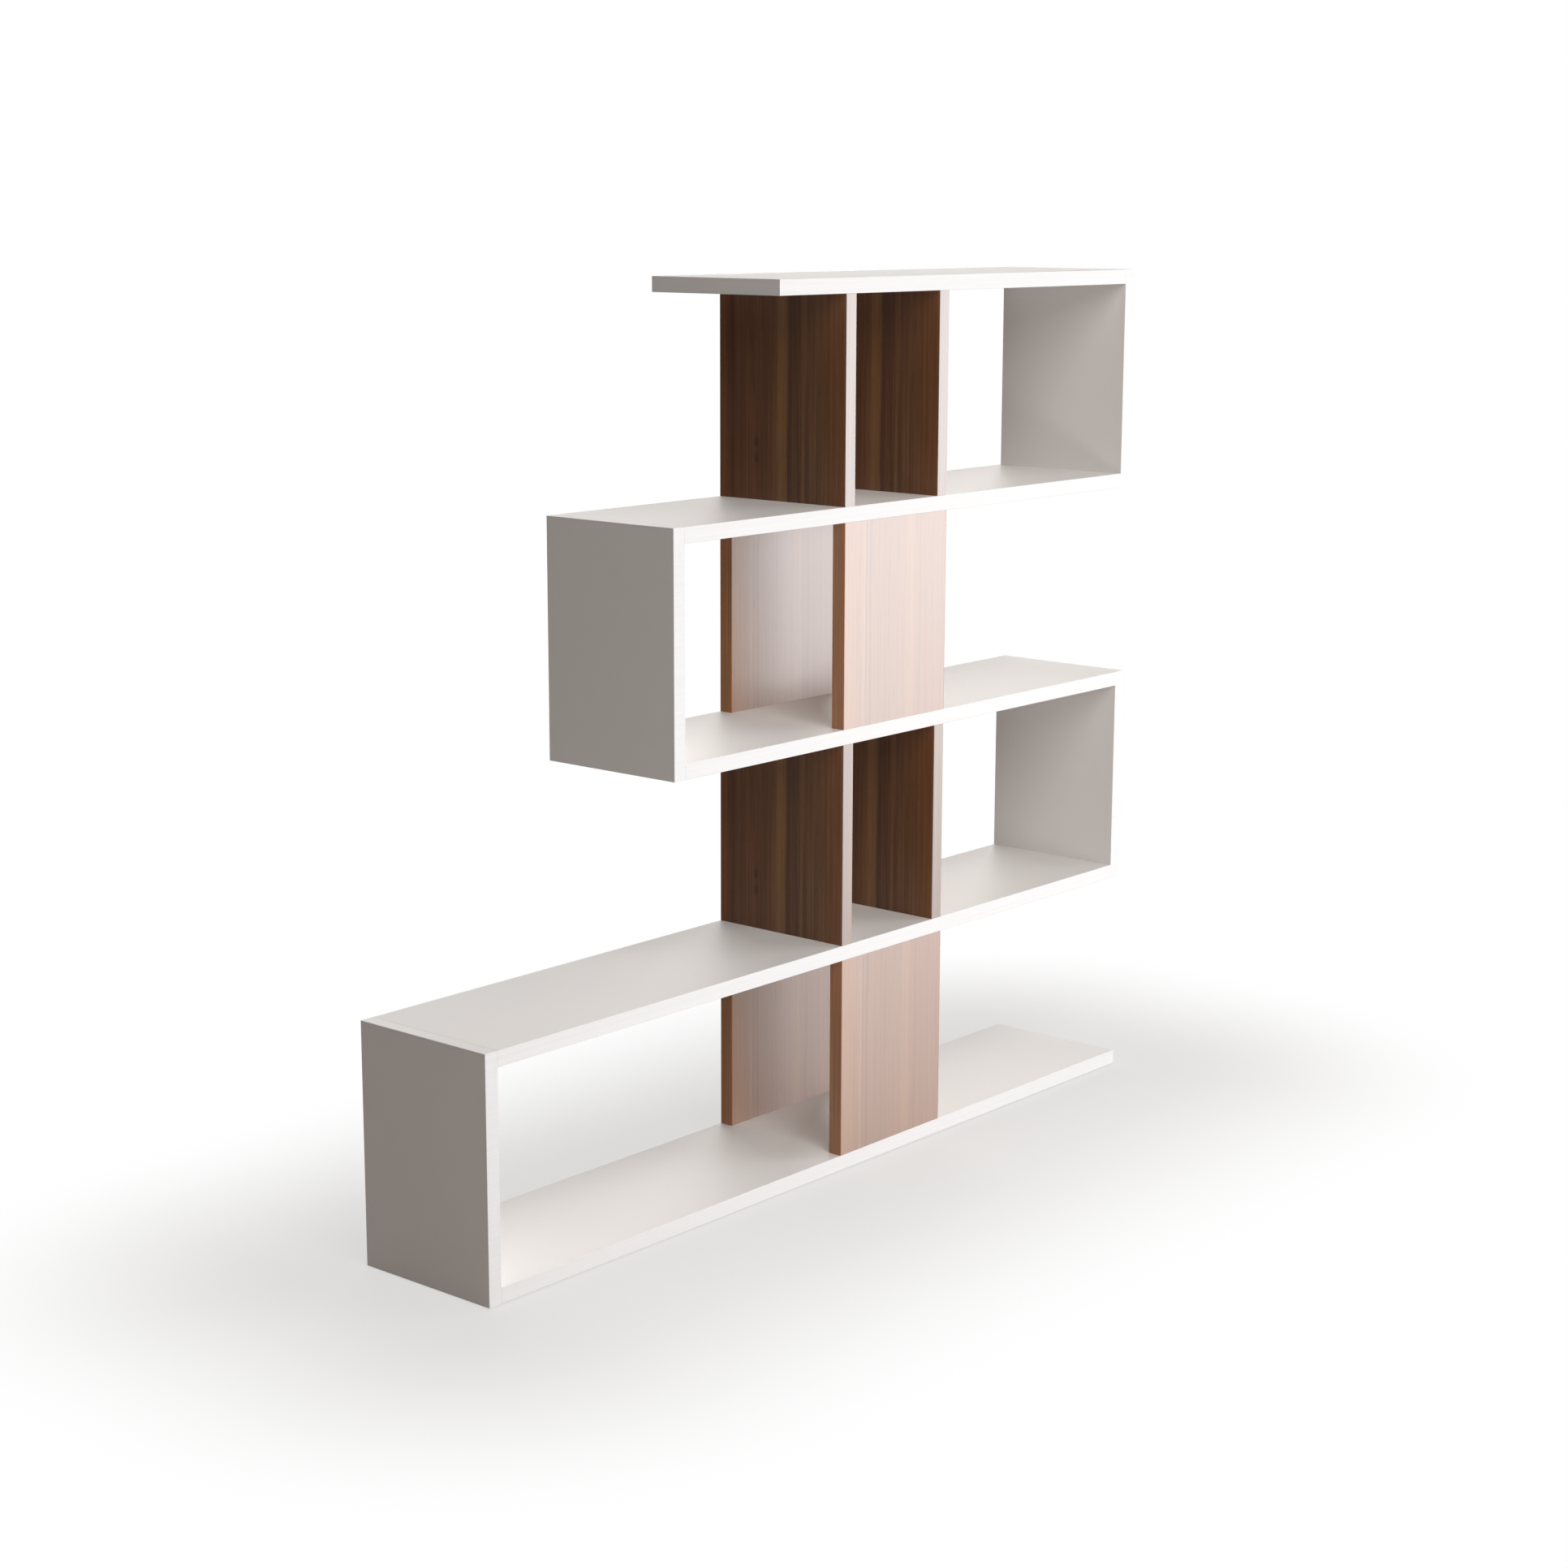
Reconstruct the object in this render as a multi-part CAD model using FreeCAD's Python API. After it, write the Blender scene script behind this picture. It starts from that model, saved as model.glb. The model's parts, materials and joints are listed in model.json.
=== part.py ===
import FreeCAD
import Part

import os

from FreeCAD import Placement, Rotation, Vector

# A zigzag bookshelf of five white shelves, one white end panel in each tier and a square walnut column.
# Sizes are in millimetres. X runs to the right, Y to the back and Z up, from the floor's middle.

# Boards
board_thickness = 32.0
shelf_depth = 340.0
clear_height = 428.0  # between one shelf and the next
column_width = 340.0  # across the walnut column
base_reach = 1030.0  # from the column's left face to the left end of the lowest tier
middle_reach = 515.0  # the same for the third tier
top_reach = 206.0  # and for the top shelf
right_reach = 690.0  # from the column's right face to the right end of every shelf

# Bands glued on the boards' bare edges
band_thickness = 2.0
band_round = 0.8

# Two bolts hold every butt joint, each with a dowel beside it
bolt_inset = 62.0  # from the board's edge to the bolt
dowel_spacing = 32.0  # from the bolt to its dowel
fit_clearance = 0.1  # around a fitting in its hole
depth_clearance = 0.5  # past the end of a fitting in its hole

# Cam bolts, screwed into a board's face and reaching into the next board's end
thread_diameter = 6.0
thread_length = 11.0
collar_diameter = 7.6
collar_length = 3.0
shank_diameter = 6.0
neck_diameter = 4.6
head_diameter = 7.0
head_length = 4.0

# Cam locks, which turn a quarter to grip the bolts' heads, and the caps that cover them
cam_diameter = 15.0
cam_setback = 34.0  # from the joint to the lock's axis
cam_floor = 1.2  # left of the lock past the bolt's head
cross_length = 8.0  # the driver's cross in the lock
cross_width = 2.0
cross_depth = 3.0
cap_thickness = 1.5

# Dowels
dowel_diameter = 10.0
dowel_in_face = 15.0
dowel_in_end = 25.0
dowel_chamfer = 1.5

# Floor glides, nailed under the bottom shelf
glide_diameter = 24.0
glide_height = 3.0
glide_round = 1.0
glide_end_inset = 100.0  # from a shelf's end to the glide's middle
glide_column_inset = 60.0  # from the column's side
glide_edge_inset = 40.0  # from the shelf's front or back
nail_diameter = 2.6
nail_length = 15.0  # in the shelf
nail_head_diameter = 6.0
nail_head_thickness = 0.8

# Places that follow from the sizes
pitch = clear_height + board_thickness
overall_width = base_reach + column_width + right_reach
right_end = overall_width / 2
column_left = base_reach - overall_width / 2
column_right = column_left + column_width
front = -shelf_depth / 2
back = shelf_depth / 2
half_board = board_thickness / 2
nail_head_low = (glide_height - nail_head_thickness) / 2
quarter_turn = 90

# A board's sides, as the axis and the end of the box
axes = x_axis, y_axis, z_axis = 0, 1, 2
left_side, right_side = (x_axis, 0), (x_axis, 1)
front_side, back_side = (y_axis, 0), (y_axis, 1)
bottom_side, top_side = (z_axis, 0), (z_axis, 1)

to_right = Vector(1, 0, 0)
to_left = Vector(-1, 0, 0)
to_back = Vector(0, 1, 0)
upward = Vector(0, 0, 1)
downward = Vector(0, 0, -1)

shelf_names = ["bottom_shelf", "second_shelf", "third_shelf", "fourth_shelf", "top_shelf"]
left_reaches = [base_reach, base_reach, middle_reach, middle_reach, top_reach]
levels = range(len(shelf_names))
tiers = range(len(shelf_names) - 1)

nodes = {}
boards = {}
fittings = {}


def box(low, high):
    return Part.makeBox(high[0] - low[0], high[1] - low[1], high[2] - low[2], Vector(*low))


def middle_box(middle, size):
    low = [m - s / 2 for m, s in zip(middle, size)]
    high = [m + s / 2 for m, s in zip(middle, size)]
    return box(low, high)


def rod(diameter, start, end):
    # Lies along X, which is the way a bolt or dowel goes into a board's end
    return Part.makeCylinder(diameter / 2, end - start, Vector(start, 0, 0), to_right)


def post(diameter, x, low, high):
    # Stands along Z at a place on the X axis
    return Part.makeCylinder(diameter / 2, high - low, Vector(x, 0, low), upward)


def placed(shape, placement):
    copy = shape.copy()
    copy.Placement = placement.multiply(shape.Placement)
    return copy


# Boards with their edge bands


def peel_band(low, high, side):
    # Splits a box into what is left of the board and the band on that side
    axis, end = side
    core = [list(low), list(high)]
    band = [list(low), list(high)]
    core[end][axis] += -band_thickness if end else band_thickness
    band[1 - end][axis] = core[end][axis]
    return core, band


def rounded_band(band, side, thin_axis):
    # The two long edges between the band's outer face and the board's broad faces are rounded
    axis, end = side
    run_axis = sum(axes) - axis - thin_axis
    strip = box(*band)

    def is_outer_long_edge(edge):
        first, last = (vertex.Point for vertex in edge.Vertexes)
        runs_along = abs(last[run_axis] - first[run_axis]) > band_thickness
        return runs_along and abs(first[axis] - band[end][axis]) < band_thickness / 2

    return strip.makeFillet(band_round, [edge for edge in strip.Edges if is_outer_long_edge(edge)])


def add_board(name, low, high, thin_axis, banded_sides):
    bands = []
    core = [low, high]
    for side in banded_sides:
        core, band = peel_band(*core, side)
        bands.append(rounded_band(band, side, thin_axis))
    boards[name] = {"core": box(*core), "holes": []}
    nodes[name + "_edge_bands"] = Part.makeCompound(bands)


def shelf_bottom(level):
    return glide_height + level * pitch


def shelf_ends(level):
    # A shelf stops at an end panel's inner face, but the top one is free on the left and the bottom one on
    # the right.
    left = column_left - left_reaches[level]
    right = right_end
    if level != levels[-1]:
        left += board_thickness
    if level != levels[0]:
        right -= board_thickness
    return left, right


def end_panel_name(tier):
    return "tier%d_%s_end_panel" % (tier + 1, "right" if tier % 2 else "left")


def add_shelves():
    for level in levels:
        left, right = shelf_ends(level)
        low = [left, front, shelf_bottom(level)]
        high = [right, back, shelf_bottom(level) + board_thickness]
        banded_sides = [front_side, back_side]
        if level == levels[0]:
            banded_sides.append(right_side)
        if level == levels[-1]:
            banded_sides.append(left_side)
        add_board(shelf_names[level], low, high, z_axis, banded_sides)


def add_end_panels():
    # An end panel covers the ends of the shelf below it and the shelf above it
    for tier in tiers:
        left = right_end - board_thickness if tier % 2 else column_left - left_reaches[tier]
        low = [left, front, shelf_bottom(tier)]
        high = [left + board_thickness, back, shelf_bottom(tier + 1) + board_thickness]
        add_board(end_panel_name(tier), low, high, x_axis, [front_side, back_side, bottom_side, top_side])


def column_panels(tier):
    # The column's two panels face front and back in one tier, left and right in the next
    low_z = shelf_bottom(tier) + board_thickness
    high_z = shelf_bottom(tier + 1)
    if tier % 2:
        spans = {
            "left_divider": [column_left, column_left + board_thickness, front, back],
            "right_divider": [column_right - board_thickness, column_right, front, back],
        }
    else:
        spans = {
            "front_panel": [column_left, column_right, front, front + board_thickness],
            "back_panel": [column_left, column_right, back - board_thickness, back],
        }
    for word, (left, right, near, far) in spans.items():
        yield "tier%d_%s" % (tier + 1, word), [left, near, low_z], [right, far, high_z]


def add_column():
    for tier in tiers:
        for name, low, high in column_panels(tier):
            if tier % 2:
                add_board(name, low, high, x_axis, [front_side, back_side])
            else:
                add_board(name, low, high, y_axis, [left_side, right_side])


# Fittings, modelled once: X goes into the board's end from the joint, Z to the face that takes the lock


def make_cam_bolt():
    neck_start = cam_setback - cam_diameter / 2 - fit_clearance
    head_start = cam_setback - head_length / 2
    thread = rod(thread_diameter, -thread_length, 0)
    collar = rod(collar_diameter, 0, collar_length)
    shank = rod(shank_diameter, collar_length, neck_start)
    neck = rod(neck_diameter, neck_start, head_start)
    head = rod(head_diameter, head_start, head_start + head_length)
    return thread.multiFuse([collar, shank, neck, head]).removeSplitter()


def make_cross(length, width, depth, top):
    middle = [cam_setback, 0, top - depth / 2]
    return middle_box(middle, [length, width, depth]).fuse(middle_box(middle, [width, length, depth]))


def make_cam_lock():
    # The head sits in a chamber. It has a wide way in at one side, and a narrow groove from there round to
    # the bolt, in which the neck runs as the lock turns.
    top = half_board - cap_thickness
    low = -head_diameter / 2 - fit_clearance - cam_floor
    head_room = head_diameter + 2 * fit_clearance
    neck_room = neck_diameter + 2 * fit_clearance
    chamber = middle_box([cam_setback, 0, 0], [head_length + 2 * fit_clearance, head_room, head_room])
    way_in = middle_box([cam_setback, -cam_diameter / 2, 0], [head_room, cam_diameter, head_room])
    slot = rod(neck_room, 0, cam_setback)
    groove = Part.makeCylinder(cam_diameter, neck_room, Vector(0, 0, -neck_room / 2), upward, quarter_turn)
    groove.rotate(Vector(0, 0, 0), upward, 2 * quarter_turn)
    groove.translate(Vector(cam_setback, 0, 0))
    cross = make_cross(cross_length, cross_width, cross_depth, top)
    return post(cam_diameter, cam_setback, low, top).cut([chamber, way_in, slot, groove, cross])


def make_cam_cap():
    # A flush disc with a peg that clips into the lock's cross
    under = half_board - cap_thickness
    disc = post(cam_diameter, cam_setback, under, half_board)
    peg_length = cross_length - 2 * fit_clearance
    peg = make_cross(peg_length, cross_width - 2 * fit_clearance, cross_depth - depth_clearance, under)
    return disc.fuse(peg).removeSplitter()


def make_dowel():
    dowel = rod(dowel_diameter, -dowel_in_face, dowel_in_end)
    rims = [edge for edge in dowel.Edges if edge.isClosed()]
    return dowel.makeChamfer(dowel_chamfer, rims)


def make_face_hole(diameter, depth):
    return rod(diameter + 2 * fit_clearance, -depth - depth_clearance, 0)


def make_end_hole(diameter, depth):
    return rod(diameter + 2 * fit_clearance, 0, depth + depth_clearance)


def make_cam_pocket():
    low = -head_diameter / 2 - fit_clearance - cam_floor - fit_clearance
    return post(cam_diameter + 2 * fit_clearance, cam_setback, low, half_board)


cam_bolt = make_cam_bolt()
cam_lock = make_cam_lock()
cam_cap = make_cam_cap()
dowel = make_dowel()
bolt_face_hole = make_face_hole(thread_diameter, thread_length)
bolt_end_hole = make_end_hole(max(collar_diameter, shank_diameter), cam_setback - cam_diameter / 2)
dowel_face_hole = make_face_hole(dowel_diameter, dowel_in_face)
dowel_end_hole = make_end_hole(dowel_diameter, dowel_in_end)
cam_pocket = make_cam_pocket()


def add_fitting(tier, word, shape, placement):
    fittings.setdefault("tier%d_%s" % (tier + 1, word), []).append(placed(shape, placement))


def join(tier, face_board, end_board, middle, into, lock_side, half_length, cap_word):
    # One butt joint: the end board's end stands on the face board's face
    along = lock_side.cross(into)
    turn = Rotation(into, along, lock_side, "XZY")
    for way in (-1, 1):
        at_bolt = Placement(middle + along * way * (half_length - bolt_inset), turn)
        at_dowel = Placement(middle + along * way * (half_length - bolt_inset - dowel_spacing), turn)
        add_fitting(tier, "cam_bolts", cam_bolt, at_bolt)
        add_fitting(tier, "cam_locks", cam_lock, at_bolt)
        add_fitting(tier, cap_word, cam_cap, at_bolt)
        add_fitting(tier, "dowels", dowel, at_dowel)
        boards[face_board]["holes"] += [placed(bolt_face_hole, at_bolt), placed(dowel_face_hole, at_dowel)]
        boards[end_board]["holes"] += [placed(bolt_end_hole, at_bolt), placed(dowel_end_hole, at_dowel)]
        boards[end_board]["holes"].append(placed(cam_pocket, at_bolt))


def join_column():
    # Locks open to the right in the dividers and to the back in the front and back panels
    for tier in tiers:
        lock_side = to_right if tier % 2 else to_back
        half_length = (shelf_depth if tier % 2 else column_width) / 2
        for name, low, high in column_panels(tier):
            x = (low[0] + high[0]) / 2
            y = (low[1] + high[1]) / 2
            for z, shelf, into in ((low[2], tier, upward), (high[2], tier + 1, downward)):
                middle = Vector(x, y, z)
                join(tier, shelf_names[shelf], name, middle, into, lock_side, half_length, "walnut_cam_caps")


def join_end_panels():
    # Locks open downward in the shelves
    for tier in tiers:
        into = to_left if tier % 2 else to_right
        for level in (tier, tier + 1):
            end = shelf_ends(level)[tier % 2]
            middle = Vector(end, 0, shelf_bottom(level) + half_board)
            name = end_panel_name(tier)
            join(tier, name, shelf_names[level], middle, into, downward, shelf_depth / 2, "white_cam_caps")


# Floor glides


def make_glide():
    disc = post(glide_diameter, 0, 0, glide_height)
    rim = [edge for edge in disc.Edges if edge.isClosed() and edge.CenterOfMass.z < glide_height / 2]
    disc = disc.makeFillet(glide_round, rim)
    sink = post(nail_head_diameter + 2 * fit_clearance, 0, 0, nail_head_low + nail_head_thickness)
    hole = post(nail_diameter + 2 * fit_clearance, 0, 0, glide_height)
    return disc.cut([sink, hole])


def make_nail():
    head = post(nail_head_diameter, 0, nail_head_low, nail_head_low + nail_head_thickness)
    shank = post(nail_diameter, 0, nail_head_low, glide_height + nail_length)
    return head.fuse(shank).removeSplitter()


def add_glides():
    end_left = -overall_width / 2
    columns = [
        end_left + glide_end_inset,
        column_left + glide_column_inset,
        column_right - glide_column_inset,
        right_end - glide_end_inset,
    ]
    glide = make_glide()
    nail = make_nail()
    nail_end = glide_height + nail_length + depth_clearance
    nail_hole = post(nail_diameter + 2 * fit_clearance, 0, glide_height, nail_end)
    for x in columns:
        for y in (front + glide_edge_inset, back - glide_edge_inset):
            place = Placement(Vector(x, y, 0), Rotation())
            fittings.setdefault("floor_glides", []).append(placed(glide, place))
            fittings.setdefault("glide_nails", []).append(placed(nail, place))
            boards["bottom_shelf"]["holes"].append(placed(nail_hole, place))


add_shelves()
add_end_panels()
add_column()
join_column()
join_end_panels()
add_glides()

for name, board in boards.items():
    nodes[name] = board["core"].cut(board["holes"])
for name, pieces in fittings.items():
    nodes[name] = Part.makeCompound(pieces)

os.makedirs("parts", exist_ok=True)
for name, shape in nodes.items():
    shape.exportStep("parts/%s.step" % name)
print(len(nodes), "nodes,", sum(len(shape.Solids) for shape in nodes.values()), "solids")
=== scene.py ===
import json
import math

import bpy
from mathutils import Matrix, Vector


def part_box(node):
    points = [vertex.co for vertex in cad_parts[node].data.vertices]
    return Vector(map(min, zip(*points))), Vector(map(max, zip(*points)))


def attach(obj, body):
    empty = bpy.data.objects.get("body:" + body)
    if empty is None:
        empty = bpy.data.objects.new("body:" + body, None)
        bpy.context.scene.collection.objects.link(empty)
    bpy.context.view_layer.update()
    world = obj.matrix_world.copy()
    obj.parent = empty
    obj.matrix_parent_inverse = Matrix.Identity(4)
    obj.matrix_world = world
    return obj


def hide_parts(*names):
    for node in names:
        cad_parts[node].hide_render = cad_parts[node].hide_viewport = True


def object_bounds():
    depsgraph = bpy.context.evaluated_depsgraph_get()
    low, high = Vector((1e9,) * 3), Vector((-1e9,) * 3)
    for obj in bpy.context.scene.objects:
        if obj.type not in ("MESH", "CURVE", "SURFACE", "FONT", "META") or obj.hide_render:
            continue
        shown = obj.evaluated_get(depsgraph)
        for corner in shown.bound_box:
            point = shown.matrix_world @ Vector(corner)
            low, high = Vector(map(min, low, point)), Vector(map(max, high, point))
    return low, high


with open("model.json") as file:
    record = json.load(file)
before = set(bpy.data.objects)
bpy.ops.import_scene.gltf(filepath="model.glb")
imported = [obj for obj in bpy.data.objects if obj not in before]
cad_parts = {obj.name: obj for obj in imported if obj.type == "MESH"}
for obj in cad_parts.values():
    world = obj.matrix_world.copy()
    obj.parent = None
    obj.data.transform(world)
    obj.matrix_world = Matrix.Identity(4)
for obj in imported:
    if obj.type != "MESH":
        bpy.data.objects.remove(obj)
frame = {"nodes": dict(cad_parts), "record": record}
cadLow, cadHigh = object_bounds()
nodes = frame["nodes"]
print("frame loaded:", len(nodes), "CAD nodes, box", tuple(cadLow), tuple(cadHigh))

mm = 0.001
scene = bpy.context.scene
scene.view_settings.view_transform = "Standard"


# sRGB hex to linear, with full opacity
def linear(hexColour):
    shares = [int(hexColour[i:i + 2], 16) / 255 for i in (1, 3, 5)]
    return tuple(s / 12.92 if s <= 0.04045 else ((s + 0.055) / 1.055) ** 2.4 for s in shares) + (1.0,)


# Adds one node: settings are its own properties, inputs are plain values or sockets to link from
def addNode(tree, kind, settings=None, inputs=None):
    node = tree.nodes.new(kind)
    for name, value in (settings or {}).items():
        setattr(node, name, value)
    for key, value in (inputs or {}).items():
        sources = value if isinstance(value, list) else [value]
        if isinstance(sources[0], bpy.types.NodeSocket):
            for source in sources:
                tree.links.new(source, node.inputs[key])
        else:
            node.inputs[key].default_value = value
    return node


def newMaterial(name):
    material = bpy.data.materials.new(name)
    material.use_nodes = True
    material.node_tree.nodes.clear()
    return material, material.node_tree


def closeMaterial(tree, shader):
    addNode(tree, "ShaderNodeOutputMaterial", {}, {"Surface": shader.outputs[0]})


def fillRamp(ramp, stops):
    elements = ramp.color_ramp.elements
    while len(elements) < len(stops):
        elements.new(0.5)  # its own place follows below
    for element, (place, hexColour) in zip(elements, stops):
        element.position = place
        element.color = linear(hexColour)


# Sizes read from the frame
bottomLow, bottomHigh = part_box("bottom_shelf")
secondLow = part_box("second_shelf")[0]
glideHeight = bottomLow.z
tierPitch = secondLow.z - bottomLow.z
boardThickness = bottomHigh.z - bottomLow.z
columnLow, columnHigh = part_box("tier1_front_panel")
depthLow, depthHigh = cadLow.y, cadHigh.y
clearHeight = tierPitch - boardThickness

# Mix node sockets for colours
mixFactor, mixA, mixB, mixResult = 0, 6, 7, 2

# Camera at the photograph's viewing angle, worked out from the edges of the boards
cameraView = {
    "place": Vector((-4.512, -3.847, 2.023)),
    "yaw": math.radians(49.616),  # from +Y towards +X
    "pitch": math.radians(-11.477),
    "roll": math.radians(0.17),
    "focalPixels": 3534.5,
    "imagePixels": 1932,
    "sensorWidth": 36.0,
}


def addCamera():
    view = cameraView
    yaw, pitch, roll = view["yaw"], view["pitch"], view["roll"]
    forward = Vector((math.sin(yaw) * math.cos(pitch), math.cos(yaw) * math.cos(pitch), math.sin(pitch)))
    level = Vector((math.cos(yaw), -math.sin(yaw), 0.0))
    upright = level.cross(forward)
    right = math.cos(roll) * level + math.sin(roll) * upright
    up = math.cos(roll) * upright - math.sin(roll) * level
    data = bpy.data.cameras.new("bookshelfCamera")
    data.sensor_width = view["sensorWidth"]
    data.lens = view["focalPixels"] / view["imagePixels"] * view["sensorWidth"]
    camera = bpy.data.objects.new("bookshelfCamera", data)
    turn = Matrix((right, up, -forward)).transposed().to_4x4()
    camera.matrix_world = Matrix.Translation(view["place"]) @ turn
    scene.collection.objects.link(camera)
    scene.camera = camera


addCamera()
print("camera placed, lens", round(scene.camera.data.lens, 2), "mm")

# Studio: two walls of light on the right, one in front and one behind, a softbox high on the left in front,
# one overhead, a low fill in front and a fill behind. A bearing is in degrees from +X towards +Y, seen from
# the middle of the column.
softboxes = [
    {"name": "keyWall", "bearing": -42.5, "distance": 7.0, "height": 1.25, "size": (4.4, 2.4),
     "radiance": 7.85, "colour": "#F6FAFF"},
    {"name": "backWall", "bearing": 48.0, "distance": 7.0, "height": 2.8, "size": (5.2, 3.4),
     "radiance": 4.3, "colour": "#FFFDFB"},
    {"name": "highSoftbox", "bearing": -117.0, "distance": 6.2, "height": 6.0, "size": (4.1, 5.4),
     "radiance": 4.55, "colour": "#FFFBF8"},
    {"name": "overheadSoftbox", "bearing": -50.0, "distance": 2.4, "height": 7.2, "size": (3.0, 3.0),
     "radiance": 1.6, "colour": "#FFFBF8"},
    {"name": "lowFill", "bearing": -90.0, "distance": 2.1, "height": 0.34, "size": (3.0, 0.5),
     "radiance": 3.2, "colour": "#F6FAFF"},
    {"name": "rearFill", "bearing": 76.0, "distance": 6.0, "height": 1.1, "size": (3.6, 2.2),
     "radiance": 2.3, "colour": "#FFFDFB"},
]
lampAim = Vector(((columnLow.x + columnHigh.x) / 2, 0.0, (cadLow.z + cadHigh.z) / 2))
keyWay = Vector((0.78, -0.62, 0.0))  # level way from the column to the key wall


def addSoftbox(settings):
    lamp = bpy.data.lights.new(settings["name"], "AREA")
    lamp.shape = "RECTANGLE"
    lamp.size, lamp.size_y = settings["size"]
    lamp.energy = settings["radiance"] * math.pi * lamp.size * lamp.size_y
    lamp.color = linear(settings["colour"])[:3]
    softbox = bpy.data.objects.new(settings["name"], lamp)
    bearing = math.radians(settings["bearing"])
    place = lampAim + settings["distance"] * Vector((math.cos(bearing), math.sin(bearing), 0.0))
    place.z = settings["height"]
    softbox.location = place
    softbox.rotation_euler = (lampAim - place).to_track_quat("-Z", "Y").to_euler()
    softbox.visible_camera = False
    scene.collection.objects.link(softbox)


for settings in softboxes:
    addSoftbox(settings)


# How much plain white a ray sees: all of it straight from the camera or through something clear, and in a
# sheen only what lies on the key's side, so that the faces turned away from the key keep their depth
def addWhiteShare(tree, where, look):
    path = addNode(tree, "ShaderNodeLightPath").outputs
    towardsKey = addNode(tree, "ShaderNodeVectorMath", {"operation": "DOT_PRODUCT"}, {0: where, 1: keyWay})
    onKeySide = addNode(tree, "ShaderNodeMapRange", {"interpolation_type": "SMOOTHSTEP"}, {
        "Value": towardsKey.outputs["Value"], "From Min": look["keySide"][0], "From Max": look["keySide"][1],
        "To Max": look["sheenWhite"]})
    inSheen = addNode(tree, "ShaderNodeMath", {"operation": "MULTIPLY"}, {
        0: path["Is Glossy Ray"], 1: onKeySide.outputs[0]})
    straight = addNode(tree, "ShaderNodeMath", {"operation": "MAXIMUM"}, {
        0: path["Is Camera Ray"], 1: path["Is Transmission Ray"]})
    return addNode(tree, "ShaderNodeMath", {"operation": "MAXIMUM"}, {
        0: straight.outputs[0], 1: inSheen.outputs[0]}).outputs[0]


surround = {
    "fill": "#FFEFE4",
    "fillStrength": 0.05,
    "white": "#FFFFFF",
    "keySide": (0.2, 0.8),  # cosines to the key's way between which the white comes up in a sheen
    "sheenWhite": 1.0,
}


def buildSurround():
    look = surround
    world = bpy.data.worlds.new("studioSurround")
    world.use_nodes = True
    world.cycles.sampling_method = "NONE"  # its white is a look, not a lamp
    tree = world.node_tree
    tree.nodes.clear()
    way = addNode(tree, "ShaderNodeTexCoord").outputs["Generated"]
    share = addWhiteShare(tree, way, look)
    dim = addNode(tree, "ShaderNodeBackground", {}, {
        "Color": linear(look["fill"]), "Strength": look["fillStrength"]})
    white = addNode(tree, "ShaderNodeBackground", {}, {"Color": linear(look["white"]), "Strength": 1.0})
    mixed = addNode(tree, "ShaderNodeMixShader", {}, {0: share, 1: dim.outputs[0], 2: white.outputs[0]})
    addNode(tree, "ShaderNodeOutputWorld", {}, {"Surface": mixed.outputs[0]})
    scene.world = world


buildSurround()

# Matt studio paper: it takes the soft shadow near the boards and fades to plain white around them
floorSheet = {
    "radius": 8.0,
    "sides": 96,
    "colour": "#C4BCB6",
    "white": "#FFFFFF",
    "keySide": (-0.3, 0.7),  # metres towards the key between which the white comes up in a sheen
    "sheenWhite": 0.78,  # the most of it that a sheen sees
    "whiteNear": 0.62,  # share of plain white beside the boards, so that the shadow stays light
    "fadeStart": 0.05,  # metres beyond the outline of the boards
    "fadeEnd": 0.9,
}


def addFloor():
    look = floorSheet
    material, tree = newMaterial("matt white studio paper")
    material.cycles.emission_sampling = "NONE"  # its white is a look, not a lamp
    place = addNode(tree, "ShaderNodeTexCoord").outputs["Object"]
    axes = addNode(tree, "ShaderNodeSeparateXYZ", {}, {0: place})
    beyond = []
    for axis, half in (("X", cadHigh.x), ("Y", cadHigh.y)):
        size = addNode(tree, "ShaderNodeMath", {"operation": "ABSOLUTE"}, {0: axes.outputs[axis]})
        past = addNode(tree, "ShaderNodeMath", {"operation": "SUBTRACT"}, {0: size.outputs[0], 1: half})
        past = addNode(tree, "ShaderNodeMath", {"operation": "MAXIMUM"}, {0: past.outputs[0], 1: 0.0})
        beyond.append(past.outputs[0])
    reach = addNode(tree, "ShaderNodeCombineXYZ", {}, {0: beyond[0], 1: beyond[1]})
    away = addNode(tree, "ShaderNodeVectorMath", {"operation": "LENGTH"}, {0: reach.outputs[0]})
    fade = addNode(tree, "ShaderNodeMapRange", {"interpolation_type": "SMOOTHSTEP"}, {
        "Value": away.outputs["Value"], "From Min": look["fadeStart"], "From Max": look["fadeEnd"],
        "To Min": look["whiteNear"], "To Max": 1.0})
    share = addNode(tree, "ShaderNodeMath", {"operation": "MULTIPLY"}, {
        0: fade.outputs[0], 1: addWhiteShare(tree, place, look)})
    paper = addNode(tree, "ShaderNodeBsdfDiffuse", {}, {"Color": linear(look["colour"])})
    white = addNode(tree, "ShaderNodeEmission", {}, {"Color": linear(look["white"]), "Strength": 1.0})
    closeMaterial(tree, addNode(tree, "ShaderNodeMixShader", {}, {
        0: share.outputs[0], 1: paper.outputs[0], 2: white.outputs[0]}))
    corners = []
    for side in range(look["sides"]):
        angle = side / look["sides"] * math.tau
        corners.append((math.cos(angle) * look["radius"], math.sin(angle) * look["radius"], 0.0))
    mesh = bpy.data.meshes.new("studioFloor")
    mesh.from_pydata(corners, [], [list(range(len(corners)))])
    mesh.materials.append(material)
    floor = bpy.data.objects.new("studioFloor", mesh)
    scene.collection.objects.link(floor)


addFloor()
print("studio lit, floor laid")

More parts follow.
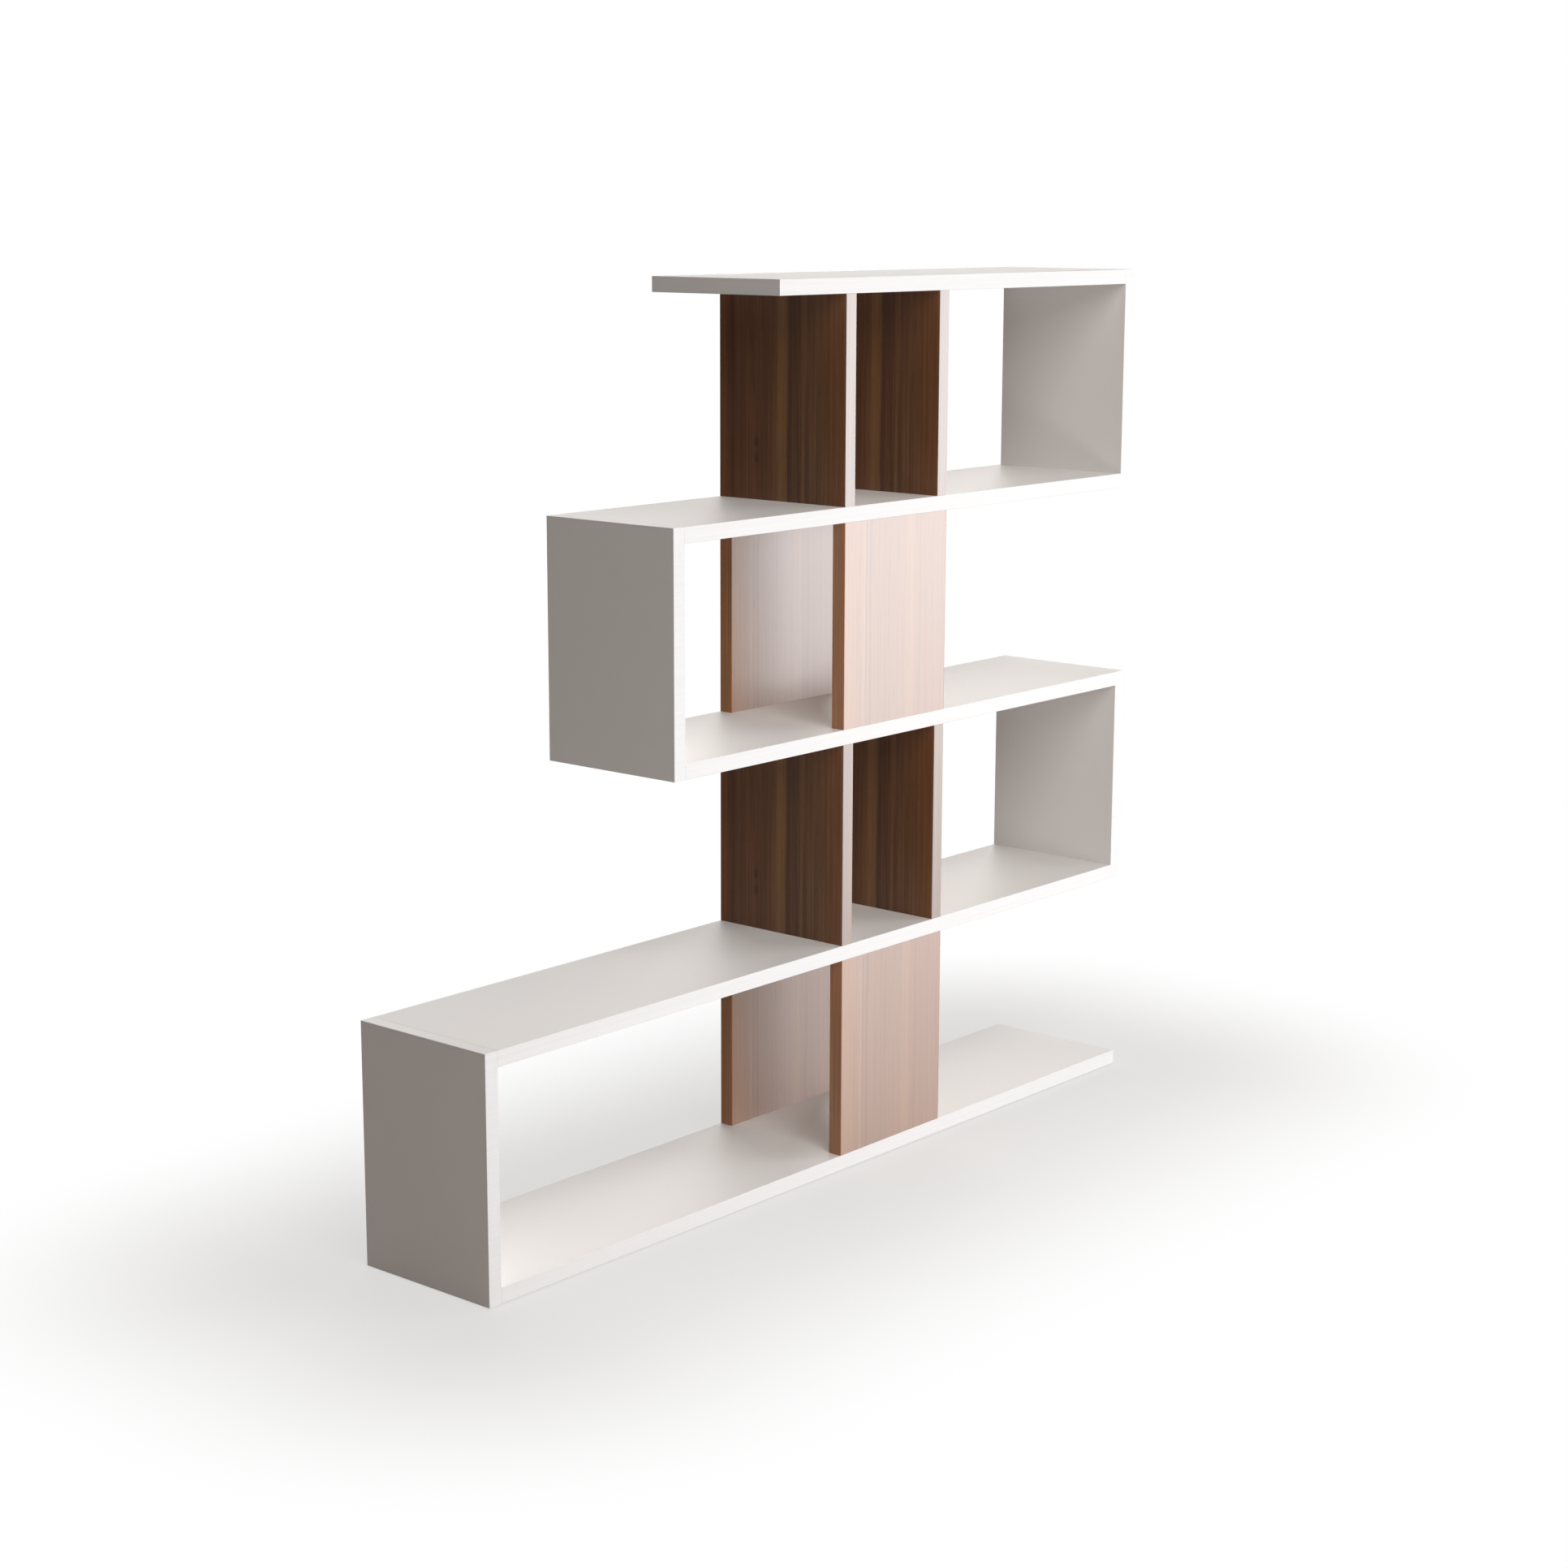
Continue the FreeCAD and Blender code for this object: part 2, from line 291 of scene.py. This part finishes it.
# White melamine on chipboard, pressed against a finely pearled plate: matt, with a soft broken sheen
whiteMelamine = {
    "colour": "#F3F1EF",
    "cloud": "#F0EEEB",
    "cloudWidth": 260 * mm,
    "pearl": 3 * mm,  # the real pearl is near 0.6 mm, too fine to show, so it is drawn coarser
    "pearlHeight": 0.02 * mm,
    "pearlStrength": 0.3,
    "shine": 0.3,
    "roughness": (0.5, 0.58),
}


def makeWhiteMelamine():
    look = whiteMelamine
    material, tree = newMaterial("white pearled melamine")
    place = addNode(tree, "ShaderNodeTexCoord").outputs["Object"]
    cloud = addNode(tree, "ShaderNodeTexNoise", {}, {
        "Vector": place, "Scale": 1 / look["cloudWidth"], "Detail": 2.0})
    pearl = addNode(tree, "ShaderNodeTexNoise", {}, {
        "Vector": place, "Scale": 1 / look["pearl"], "Detail": 1.0})
    colour = addNode(tree, "ShaderNodeMix", {"data_type": "RGBA"}, {
        mixFactor: cloud.outputs[0], mixA: linear(look["colour"]), mixB: linear(look["cloud"])})
    dull = addNode(tree, "ShaderNodeMapRange", {}, {
        "Value": pearl.outputs[0], "To Min": look["roughness"][0], "To Max": look["roughness"][1]})
    bump = addNode(tree, "ShaderNodeBump", {}, {
        "Strength": look["pearlStrength"], "Distance": look["pearlHeight"], "Height": pearl.outputs[0]})
    closeMaterial(tree, addNode(tree, "ShaderNodeBsdfPrincipled", {}, {
        "Base Color": colour.outputs[mixResult], "Roughness": dull.outputs[0],
        "Specular IOR Level": look["shine"], "Normal": bump.outputs[0]}))
    return material


# Walnut veneer, quarter cut and laid upright, under satin lacquer: narrow brown stripes with a pale sheen
# that washes over them wherever a panel faces the key light
walnutStripes = {
    "wander": 5 * mm,  # how far a stripe drifts on its way up
    # Grains: size across and along the stripes, a place of its own in the noise, and its detail
    "drift": {"size": (70 * mm, 260 * mm), "place": 3.7, "detail": 1.0},
    "broad": {"size": (11 * mm, 900 * mm), "place": 11.3, "detail": 2.0},
    "fine": {"size": (4.5 * mm, 420 * mm), "place": 23.9, "detail": 2.0},
    # Real pores are 0.3 mm wide; drawn this coarse so that they show
    "pore": {"size": (2.6 * mm, 60 * mm), "place": 41.1, "detail": 1.0},
    # Layers over the bands: the grain, the values where it starts and is full, its tone and strength
    "layers": [
        ("broad", 0.52, 0.72, "lightWood", 0.35), ("broad", 0.48, 0.28, "darkWood", 0.4),
        ("fine", 0.5, 0.75, "lightWood", 0.35), ("fine", 0.5, 0.28, "darkWood", 0.45),
        ("pore", 0.58, 0.8, "darkWood", 0.6),
    ],
    "lightWood": "#926B49",
    "darkWood": "#3C2314",
    "knotSize": (9 * mm, 17 * mm),
    "knotHeart": 0.2,  # share of a knot that is darkest
    "knotStrength": 0.65,
    "poreHeight": 0.05 * mm,
    "poreStrength": 0.25,
    "roughness": (0.5, 0.58),
    "index": 1.5,
    "coatRoughness": 0.53,
    "coatIndex": 2.5,
}
# Bands of colour across a divider from back to front: shares of the depth
dividerFigure = {
    "axis": "Y",
    "ends": (depthHigh, depthLow),
    "coat": 0.13,
    "contrast": 0.8,
    "bands": [
        (0.0, "#814D27"), (0.07, "#764523"), (0.095, "#5A331D"), (0.13, "#694126"), (0.45, "#6C4527"),
        (0.475, "#835E39"), (0.535, "#7E5934"), (0.548, "#55341D"), (0.605, "#57351D"), (0.625, "#472818"),
        (0.645, "#5C381F"), (0.66, "#76522F"), (0.685, "#654328"), (0.82, "#6E4928"), (1.0, "#804D26"),
    ],
    "knots": [(0.3, 0.28), (0.3, 0.2)],  # shares of the depth and of the clear height
}
# Bands across a front or back panel from left to right: shares of the width
panelFigure = {
    "axis": "X",
    "ends": (columnLow.x, columnHigh.x),
    "coat": 1.0,
    "contrast": 0.52,
    "bands": [
        (0.0, "#9E6A41"), (0.06, "#986941"), (0.17, "#966843"), (0.19, "#A3734C"), (0.205, "#7A5137"),
        (0.225, "#966645"), (0.245, "#765136"), (0.27, "#8E6140"), (0.45, "#8A5E3E"), (0.6, "#8E6140"),
        (0.63, "#986C48"), (0.67, "#976946"), (0.7, "#8E5F3F"), (0.86, "#8D5D3E"), (1.0, "#90613F"),
    ],
    "knots": [],
}


def makeWalnutVeneer(name, figure):
    look = walnutStripes
    material, tree = newMaterial(name)
    place = addNode(tree, "ShaderNodeTexCoord")
    axes = addNode(tree, "ShaderNodeSeparateXYZ", {}, {0: place.outputs["Object"]})
    across = axes.outputs[figure["axis"]]
    # Every tier starts the figure again, as panels cut from the same length of veneer do
    lifted = addNode(tree, "ShaderNodeMath", {"operation": "SUBTRACT"}, {
        0: axes.outputs["Z"], 1: glideHeight})
    up = addNode(tree, "ShaderNodeMath", {"operation": "MODULO"}, {
        0: lifted.outputs[0], 1: tierPitch}).outputs[0]

    def grain(source, kind):
        width, length = look[kind]["size"]
        flat = addNode(tree, "ShaderNodeCombineXYZ", {}, {0: source, 1: look[kind]["place"], 2: up})
        scaled = addNode(tree, "ShaderNodeVectorMath", {"operation": "MULTIPLY"}, {
            0: flat.outputs[0], 1: (1 / width, 1.0, 1 / length)})
        return addNode(tree, "ShaderNodeTexNoise", {}, {
            "Vector": scaled.outputs[0], "Scale": 1.0, "Detail": look[kind]["detail"]}).outputs[0]

    drifted = addNode(tree, "ShaderNodeMath", {"operation": "MULTIPLY_ADD"}, {
        0: grain(across, "drift"), 1: look["wander"], 2: across}).outputs[0]
    middle = look["wander"] / 2  # the drift's mean
    start, end = figure["ends"]
    share = addNode(tree, "ShaderNodeMapRange", {}, {
        "Value": drifted, "From Min": start + middle, "From Max": end + middle})
    bands = addNode(tree, "ShaderNodeValToRGB", {}, {0: share.outputs[0]})
    fillRamp(bands, figure["bands"])
    colour = bands.outputs[0]
    grains = {kind: grain(drifted, kind) for kind in ("broad", "fine", "pore")}
    for kind, low, high, tone, strength in look["layers"]:
        amount = addNode(tree, "ShaderNodeMapRange", {}, {
            "Value": grains[kind], "From Min": low, "From Max": high,
            "To Max": strength * figure["contrast"]})
        colour = addNode(tree, "ShaderNodeMix", {"data_type": "RGBA"}, {
            mixFactor: amount.outputs[0], mixA: colour, mixB: linear(look[tone])}).outputs[mixResult]
    for acrossShare, heightShare in figure["knots"]:
        knotAcross = start + acrossShare * (end - start) + middle
        knotUp = boardThickness + heightShare * clearHeight
        spot = addNode(tree, "ShaderNodeCombineXYZ", {}, {0: drifted, 1: up})
        spot = addNode(tree, "ShaderNodeVectorMath", {"operation": "SUBTRACT"}, {
            0: spot.outputs[0], 1: (knotAcross, knotUp, 0.0)})
        spot = addNode(tree, "ShaderNodeVectorMath", {"operation": "DIVIDE"}, {
            0: spot.outputs[0], 1: (*look["knotSize"], 1.0)})
        far = addNode(tree, "ShaderNodeVectorMath", {"operation": "LENGTH"}, {0: spot.outputs[0]})
        amount = addNode(tree, "ShaderNodeMapRange", {"interpolation_type": "SMOOTHSTEP"}, {
            "Value": far.outputs["Value"], "From Min": look["knotHeart"], "From Max": 1.0,
            "To Min": look["knotStrength"], "To Max": 0.0})
        colour = addNode(tree, "ShaderNodeMix", {"data_type": "RGBA"}, {
            mixFactor: amount.outputs[0], mixA: colour, mixB: linear(look["darkWood"])}).outputs[mixResult]
    dull = addNode(tree, "ShaderNodeMapRange", {}, {
        "Value": grains["fine"], "To Min": look["roughness"][0], "To Max": look["roughness"][1]})
    bump = addNode(tree, "ShaderNodeBump", {"invert": True}, {
        "Strength": look["poreStrength"], "Distance": look["poreHeight"], "Height": grains["pore"]})
    closeMaterial(tree, addNode(tree, "ShaderNodeBsdfPrincipled", {}, {
        "Base Color": colour, "Roughness": dull.outputs[0], "IOR": look["index"],
        "Coat Weight": figure["coat"], "Coat Roughness": look["coatRoughness"],
        "Coat IOR": look["coatIndex"], "Normal": bump.outputs[0]}))
    return material


# Extruded plastic edging: a trace of fine lines along its length. On walnut boards it is printed brown and
# has the veneer's satin sheen.
edgeBands = {
    "white": {"name": "white extruded edge band", "colour": "#EFEEED", "line": "#EBEAE9", "rough": 0.5,
              "shine": 0.25, "coat": 0.0},
    "panel": {"name": "walnut print edge band on panels", "colour": "#A96F3E", "line": "#7E502C",
              "rough": 0.5, "shine": 0.5, "coat": 0.35},
    "divider": {"name": "walnut print edge band on dividers", "colour": "#754C22", "line": "#503218",
                "rough": 0.5, "shine": 0.5, "coat": 1.0},
    "lineWidth": 3 * mm,
    "lineLength": 350 * mm,
    "lineRange": (0.35, 0.75),  # values of the noise between which a line gains its colour
    "roughSpread": 0.04,
}


def makeEdgeBand(kind):
    look = edgeBands[kind]
    material, tree = newMaterial(look["name"])
    place = addNode(tree, "ShaderNodeTexCoord")
    long, narrow = 1 / edgeBands["lineLength"], 1 / edgeBands["lineWidth"]
    scale = (long, long, narrow) if kind == "white" else (narrow, narrow, long)
    stretched = addNode(tree, "ShaderNodeVectorMath", {"operation": "MULTIPLY"}, {
        0: place.outputs["Object"], 1: scale})
    lines = addNode(tree, "ShaderNodeTexNoise", {}, {
        "Vector": stretched.outputs[0], "Scale": 1.0, "Detail": 2.0}).outputs[0]
    low, high = edgeBands["lineRange"]
    amount = addNode(tree, "ShaderNodeMapRange", {}, {"Value": lines, "From Min": low, "From Max": high})
    colour = addNode(tree, "ShaderNodeMix", {"data_type": "RGBA"}, {
        mixFactor: amount.outputs[0], mixA: linear(look["colour"]), mixB: linear(look["line"])})
    spread = edgeBands["roughSpread"]
    dull = addNode(tree, "ShaderNodeMapRange", {}, {
        "Value": lines, "To Min": look["rough"] - spread, "To Max": look["rough"] + spread})
    closeMaterial(tree, addNode(tree, "ShaderNodeBsdfPrincipled", {}, {
        "Base Color": colour.outputs[mixResult], "Roughness": dull.outputs[0],
        "Specular IOR Level": look["shine"], "Coat Weight": look["coat"],
        "Coat Roughness": walnutStripes["coatRoughness"], "Coat IOR": walnutStripes["coatIndex"]}))
    return material


# Small moulded, cast and turned pieces: a speckle or grain of two tones, and a bump of the same grain
smallFinishes = {
    # Moulded caps are matt and almost even, in the tone of the face that they sit in
    "white_cap": {"name": "white moulded plastic", "tones": ("#ECEAE8", "#E4E2DF"), "grain": 1.2 * mm,
                  "stretch": 1.0, "roughness": 0.45, "metallic": 0.0},
    "brown_cap": {"name": "brown moulded plastic", "tones": ("#6A4630", "#5C3B28"), "grain": 1.2 * mm,
                  "stretch": 1.0, "roughness": 0.5, "metallic": 0.0},
    # Cast zinc is a dull, faintly cloudy grey, and plated steel is brighter and smoother
    "zinc_lock": {"name": "die cast zinc", "tones": ("#B9BCBE", "#A2A5A8"), "grain": 1.5 * mm,
                  "stretch": 1.0, "roughness": 0.42, "metallic": 1.0},
    "plated_steel": {"name": "zinc plated steel", "tones": ("#CFCFCB", "#B9BABA"), "grain": 1.0 * mm,
                     "stretch": 1.0, "roughness": 0.3, "metallic": 1.0},
    # Turned beech is pale and dry, with short streaks
    "beech_dowel": {"name": "turned beech", "tones": ("#D9B98C", "#C39A68"), "grain": 1.4 * mm,
                    "stretch": 8.0, "roughness": 0.6, "metallic": 0.0},
    # Moulded polyethylene is waxy, with a soft broad highlight
    "glide_plastic": {"name": "grey moulded polyethylene", "tones": ("#8E8D8B", "#7F7E7C"),
                      "grain": 1.5 * mm, "stretch": 1.0, "roughness": 0.5, "metallic": 0.0},
}
smallGrain = {"roughSpread": 0.06, "bumpStrength": 0.2, "bumpHeight": 0.05 * mm}


def makeSmallFinish(look):
    material, tree = newMaterial(look["name"])
    place = addNode(tree, "ShaderNodeTexCoord")
    fine = 1 / look["grain"]
    stretched = addNode(tree, "ShaderNodeVectorMath", {"operation": "MULTIPLY"}, {
        0: place.outputs["Object"], 1: (fine, fine, fine / look["stretch"])})
    grain = addNode(tree, "ShaderNodeTexNoise", {}, {
        "Vector": stretched.outputs[0], "Scale": 1.0, "Detail": 2.0}).outputs[0]
    colour = addNode(tree, "ShaderNodeMix", {"data_type": "RGBA"}, {
        mixFactor: grain, mixA: linear(look["tones"][0]), mixB: linear(look["tones"][1])})
    spread = smallGrain["roughSpread"]
    dull = addNode(tree, "ShaderNodeMapRange", {}, {
        "Value": grain, "To Min": look["roughness"] - spread, "To Max": look["roughness"] + spread})
    bump = addNode(tree, "ShaderNodeBump", {}, {
        "Strength": smallGrain["bumpStrength"], "Distance": smallGrain["bumpHeight"], "Height": grain})
    closeMaterial(tree, addNode(tree, "ShaderNodeBsdfPrincipled", {}, {
        "Base Color": colour.outputs[mixResult], "Roughness": dull.outputs[0],
        "Metallic": look["metallic"], "Normal": bump.outputs[0]}))
    return material


finishes = {slot: makeSmallFinish(look) for slot, look in smallFinishes.items()}
finishes["white_melamine"] = makeWhiteMelamine()
finishes["white_edge_band"] = makeEdgeBand("white")
walnutVeneers = {
    "divider": makeWalnutVeneer("satin walnut veneer on dividers", dividerFigure),
    "panel": makeWalnutVeneer("satin walnut veneer on panels", panelFigure),
}
walnutBands = {kind: makeEdgeBand(kind) for kind in walnutVeneers}

for subpart in frame["record"]["subparts"]:
    name, slot = subpart["node"], subpart["material_slot"]
    kind = "divider" if "divider" in name else "panel"
    if slot == "walnut_veneer":
        finish = walnutVeneers[kind]
    elif slot == "walnut_edge_band":
        finish = walnutBands[kind]
    else:
        finish = finishes[slot]
    nodes[name].data.materials.clear()
    nodes[name].data.materials.append(finish)
print("finishes laid on", len(nodes), "nodes")

# Push-in cover caps on the cam locks: a chamfered disc with a dished face, and a cross peg behind it
capShape = {
    "Cap radius": 7.5 * mm,
    "Cap thickness": 1.5 * mm,
    "Rim chamfer": 0.4 * mm,
    "Dish radius": 5.6 * mm,
    "Dish depth": 0.3 * mm,
    "Peg length": 7.8 * mm,
    "Peg width": 1.8 * mm,
    "Peg depth": 2.5 * mm,
    "Peg root": 0.4 * mm,  # how far the peg reaches into the disc
    "Weld distance": 0.01 * mm,
    "Rim sides": 40,
}
capReach = 20 * mm  # every point of a cap lies nearer than this to any other, and every other cap farther


def buildCapTree():
    tree = bpy.data.node_groups.new("cam cover caps", "GeometryNodeTree")
    sockets = tree.interface
    sockets.new_socket("Geometry", in_out="INPUT", socket_type="NodeSocketGeometry")
    for name, value in capShape.items():
        kind = "NodeSocketInt" if isinstance(value, int) else "NodeSocketFloat"
        sockets.new_socket(name, in_out="INPUT", socket_type=kind)
    sockets.new_socket("Finish", in_out="INPUT", socket_type="NodeSocketMaterial")
    sockets.new_socket("Geometry", in_out="OUTPUT", socket_type="NodeSocketGeometry")
    given = addNode(tree, "NodeGroupInput").outputs

    # Measures worked out from the inputs and from the measures above them
    size = {name: given[name] for name in capShape}
    for name, operation, first, second in (
            ("seat drop", "MULTIPLY", "Cap thickness", -1.0),
            ("side rise", "SUBTRACT", "Cap thickness", "Rim chamfer"),
            ("face radius", "SUBTRACT", "Cap radius", "Rim chamfer"),
            ("face share", "DIVIDE", "face radius", "Cap radius"),
            ("dish share", "DIVIDE", "Dish radius", "face radius"),
            ("dish drop", "MULTIPLY", "Dish depth", -1.0),
            ("dish floor", "SUBTRACT", "Dish radius", "Dish depth"),
            ("floor share", "DIVIDE", "dish floor", "Dish radius"),
            ("peg height", "ADD", "Peg depth", "Peg root"),
            ("peg half", "MULTIPLY", "peg height", -0.5),
            ("peg seat", "SUBTRACT", "Cap thickness", "Peg root"),
            ("peg middle", "SUBTRACT", "peg half", "peg seat")):
        terms = {0: size.get(first, first), 1: size.get(second, second)}
        size[name] = addNode(tree, "ShaderNodeMath", {"operation": operation}, terms).outputs[0]

    circle = addNode(tree, "GeometryNodeMeshCircle", {"fill_type": "NGON"}, {
        "Vertices": size["Rim sides"], "Radius": size["Cap radius"]})
    down = addNode(tree, "ShaderNodeCombineXYZ", {}, {2: size["seat drop"]})
    seat = addNode(tree, "GeometryNodeTransform", {}, {
        "Geometry": circle.outputs[0], "Translation": down.outputs[0]}).outputs[0]
    underside = addNode(tree, "GeometryNodeFlipFaces", {}, {0: seat}).outputs[0]
    # The side, the chamfer, the rim of the dish and the dish, each drawn out of the last one's top
    solid, top = seat, None
    for rise, share in (
            (size["side rise"], 1.0), (size["Rim chamfer"], size["face share"]),
            (0.0, size["dish share"]), (size["dish drop"], size["floor share"])):
        picked = {"Mesh": solid, "Offset Scale": rise, "Individual": False}
        if top is not None:
            picked["Selection"] = top
        step = addNode(tree, "GeometryNodeExtrudeMesh", {"mode": "FACES"}, picked)
        top = step.outputs["Top"]
        solid = addNode(tree, "GeometryNodeScaleElements", {}, {
            "Geometry": step.outputs["Mesh"], "Selection": top, "Scale": share}).outputs[0]
    shell = addNode(tree, "GeometryNodeJoinGeometry", {}, {0: [solid, underside]})
    disc = addNode(tree, "GeometryNodeMergeByDistance", {}, {
        "Geometry": shell.outputs[0], "Distance": size["Weld distance"]})
    pegPlace = addNode(tree, "ShaderNodeCombineXYZ", {}, {2: size["peg middle"]})
    parts = [disc.outputs[0]]
    for along, over in (("Peg length", "Peg width"), ("Peg width", "Peg length")):
        sides = addNode(tree, "ShaderNodeCombineXYZ", {}, {
            0: size[along], 1: size[over], 2: size["peg height"]})
        bar = addNode(tree, "GeometryNodeMeshCube", {}, {"Size": sides.outputs[0]})
        parts.append(addNode(tree, "GeometryNodeTransform", {}, {
            "Geometry": bar.outputs[0], "Translation": pegPlace.outputs[0]}).outputs[0])
    cap = addNode(tree, "GeometryNodeMeshBoolean", {"operation": "UNION", "solver": "EXACT"}, {1: parts})
    facing = addNode(tree, "GeometryNodeInputNamedAttribute", {"data_type": "FLOAT_VECTOR"}, {
        "Name": "facing"})
    turned = addNode(tree, "FunctionNodeAlignRotationToVector", {"axis": "Z"}, {"Vector": facing.outputs[0]})
    placed = addNode(tree, "GeometryNodeInstanceOnPoints", {}, {
        "Points": given["Geometry"], "Instance": cap.outputs[0], "Rotation": turned.outputs[0]})
    whole = addNode(tree, "GeometryNodeRealizeInstances", {}, {0: placed.outputs[0]})
    finished = addNode(tree, "GeometryNodeSetMaterial", {}, {
        "Geometry": whole.outputs[0], "Material": given["Finish"]})
    addNode(tree, "NodeGroupOutput", {}, {0: finished.outputs[0]})
    return tree


# Where the CAD caps lie: the middle of each cap's outer face, and the way it faces
def findCaps(names):
    groups = []
    for name in names:
        for vertex in nodes[name].data.vertices:
            home = next((group for group in groups if (group[0] - vertex.co).length < capReach), None)
            if home is None:
                groups.append([vertex.co.copy()])
            else:
                home.append(vertex.co.copy())
    places, ways = [], []
    upright = 2  # the Z axis
    for group in groups:
        low = Vector([min(point[axis] for point in group) for axis in range(3)])
        high = Vector([max(point[axis] for point in group) for axis in range(3)])
        size = high - low
        thin = min(range(3), key=lambda axis: size[axis])
        underneath = thin == upright  # shelves carry their caps on the underside
        way = Vector((0.0, 0.0, 0.0))
        way[thin] = -1.0 if underneath else 1.0
        place = (low + high) / 2
        place[thin] = low[thin] if underneath else high[thin]
        places.append(place)
        ways.append(way)
    return places, ways


def addCaps(pieceName, nodeEnding, slot, tree):
    names = sorted(name for name in nodes if name.endswith(nodeEnding))
    places, ways = findCaps(names)
    mesh = bpy.data.meshes.new(pieceName)
    mesh.from_pydata(places, [], [])
    facing = mesh.attributes.new("facing", "FLOAT_VECTOR", "POINT")
    facing.data.foreach_set("vector", [value for way in ways for value in way])
    piece = bpy.data.objects.new(pieceName, mesh)
    scene.collection.objects.link(piece)
    modifier = piece.modifiers.new("caps", "NODES")
    modifier.node_group = tree
    values = dict(capShape, Finish=finishes[slot])
    for item in tree.interface.items_tree:
        if item.in_out == "INPUT" and item.name in values:
            modifier[item.identifier] = values[item.name]
    depsgraph = bpy.context.evaluated_depsgraph_get()
    piece.data = bpy.data.meshes.new_from_object(piece.evaluated_get(depsgraph), depsgraph=depsgraph)
    piece.modifiers.clear()
    piece.data.materials.clear()  # drops the empty slot that the tree leaves in front of the finish
    piece.data.materials.append(finishes[slot])
    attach(piece, "root")
    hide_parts(*names)
    print(pieceName, len(places), "caps,", len(piece.data.polygons), "faces")


capTree = buildCapTree()
addCaps("walnut_cover_caps", "walnut_cam_caps", "brown_cap", capTree)
addCaps("white_cover_caps", "white_cam_caps", "white_cap", capTree)
